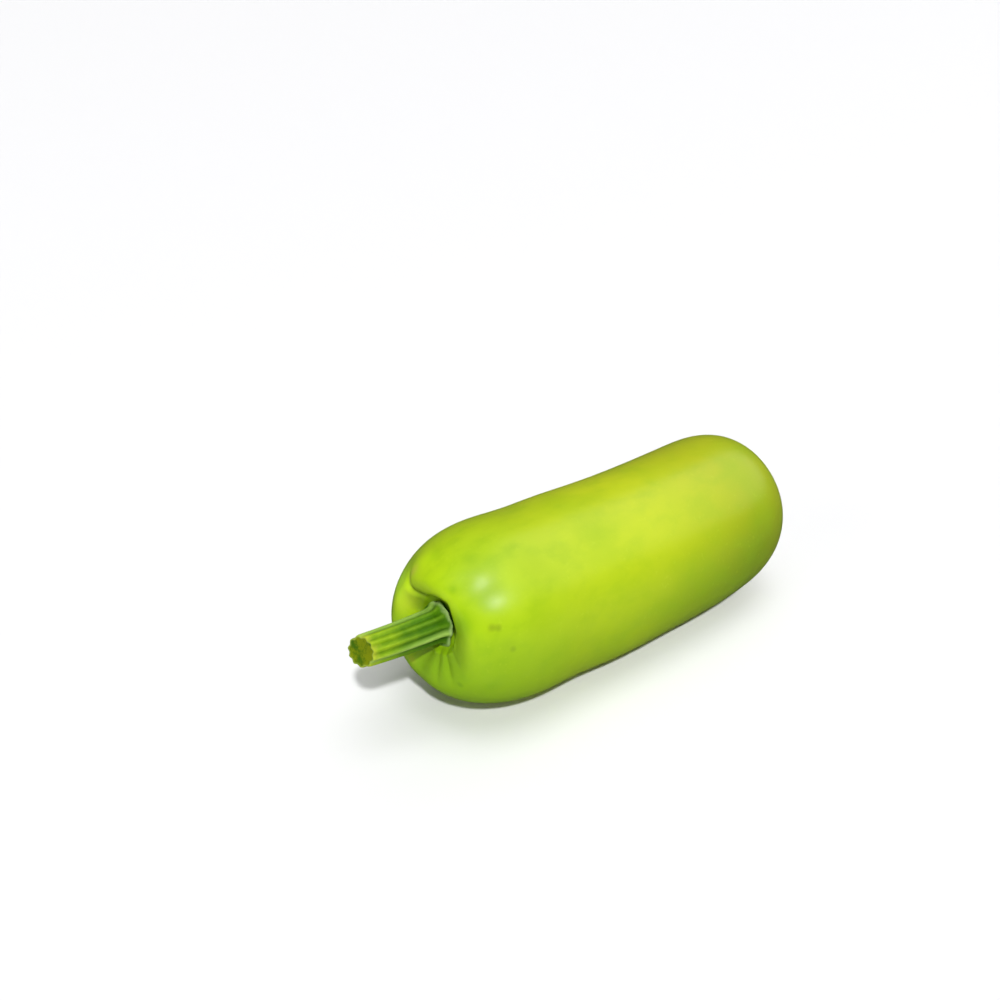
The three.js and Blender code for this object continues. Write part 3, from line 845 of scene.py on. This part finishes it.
def corkMaterial():
    board = Board("dryCork", {"Specular IOR Level": scar["gloss"]})
    grain = board.noise(board.place(), scar["grainSize"], detail=4.0, roughness=0.7)
    tone = grain * scar["grainShare"] + board.mark("worn") * scar["wornShare"]
    board.feed("Base Color", board.ramp(tone, scar["colours"]))
    board.feed("Roughness", scar["roughness"] + grain * scar["roughnessSpread"])
    board.feed("Normal", board.bump(grain, scar["bumpDepth"], scar["bumpStrength"]))
    return board.material


def makeScar():
    points, marks = scarShape()
    piece = closedMesh("gourdBlossomScar", points, points[0].mean(0), points[-1].mean(0), marks)
    piece.data.materials.append(corkMaterial())
    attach(piece, "root")
    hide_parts("blossom_scar")
    print("blossom scar made:", len(piece.data.polygons), "faces")


# The studio

studio = {
    "floorSize": 60000.0,
    "floorColour": (0.77, 0.77, 0.78),
    "floorRoughness": 0.7,
    "floorGloss": 0.2,
    "skyColour": (1.0, 1.0, 1.0),
    "skyStrength": 0.06,
    # lamps: [name, azimuth, elevation, energy, how wide it is in degrees]
    "shadingLamps": [
        ["keyLamp", -37, 43.5, 3.1, 3],
        ["highFront", -4, 76, 1.0, 40],
        ["highLeft", -78, 74, 0.45, 40],
        ["farRight", 120, 55, 0.4, 60],
        ["lowLeft", -95, 16, 0.55, 40],
    ],
    # these show only as gloss
    "glossLamps": [
        ["upperGlint", -3, 72, 0.9, 5],
        ["lowerGlint", -1, 46, 1.35, 8],
        ["sheen", 70, 43, 1.3, 62],
    ],
    "cameraPlace": (-423.42, -366.49, 369.59),
    "cameraAzimuth": -43.67,
    "cameraElevation": 27.0,
    "lens": 43.2,
    "sensor": 36.0,
}


def towards(azimuth, elevation):
    # azimuth 0 looks along +Y
    a, e = math.radians(azimuth), math.radians(elevation)
    return Vector((math.sin(a) * math.cos(e), -math.cos(a) * math.cos(e), math.sin(e)))


def aim(item, back):
    item.rotation_mode = "QUATERNION"
    item.rotation_quaternion = (-back).to_track_quat("-Z", "Y")


def makeFloor():
    half = studio["floorSize"] * millimetre / 2
    mesh = bpy.data.meshes.new("floor")
    corners = [(-half, -half, 0), (half, -half, 0), (half, half, 0), (-half, half, 0)]
    mesh.from_pydata(corners, [], [(0, 1, 2, 3)])
    floor = bpy.data.objects.new("floor", mesh)
    bpy.context.scene.collection.objects.link(floor)
    board = Board("paleFloor", {
        "Base Color": (*studio["floorColour"], 1),
        "Roughness": studio["floorRoughness"],
        "Specular IOR Level": studio["floorGloss"],
    })
    mesh.materials.append(board.material)
    floor.visible_glossy = False


def makeSky():
    world = bpy.data.worlds.new("studioSky")
    bpy.context.scene.world = world
    world.use_nodes = True
    sky = world.node_tree.nodes["Background"]
    sky.inputs["Color"].default_value = (*studio["skyColour"], 1)
    sky.inputs["Strength"].default_value = studio["skyStrength"]


def makeLamp(glossy, name, azimuth, elevation, energy, angle):
    data = bpy.data.lights.new(name, "SUN")
    data.energy = energy
    data.angle = math.radians(angle)
    lamp = bpy.data.objects.new(name, data)
    lamp.visible_glossy = glossy
    lamp.visible_diffuse = not glossy
    bpy.context.scene.collection.objects.link(lamp)
    aim(lamp, towards(azimuth, elevation))


def makeCamera():
    data = bpy.data.cameras.new("camera")
    data.lens = studio["lens"]
    data.sensor_width = studio["sensor"]
    camera = bpy.data.objects.new("camera", data)
    camera.location = Vector(studio["cameraPlace"]) * millimetre
    bpy.context.scene.collection.objects.link(camera)
    aim(camera, towards(studio["cameraAzimuth"], studio["cameraElevation"]))
    bpy.context.scene.camera = camera


makeFruit()
makeStem()
makeScar()
makeFloor()
makeSky()
for lamp in studio["shadingLamps"]:
    makeLamp(False, *lamp)
for lamp in studio["glossLamps"]:
    makeLamp(True, *lamp)
makeCamera()
bpy.context.scene.view_settings.view_transform = "Standard"
print("studio made")
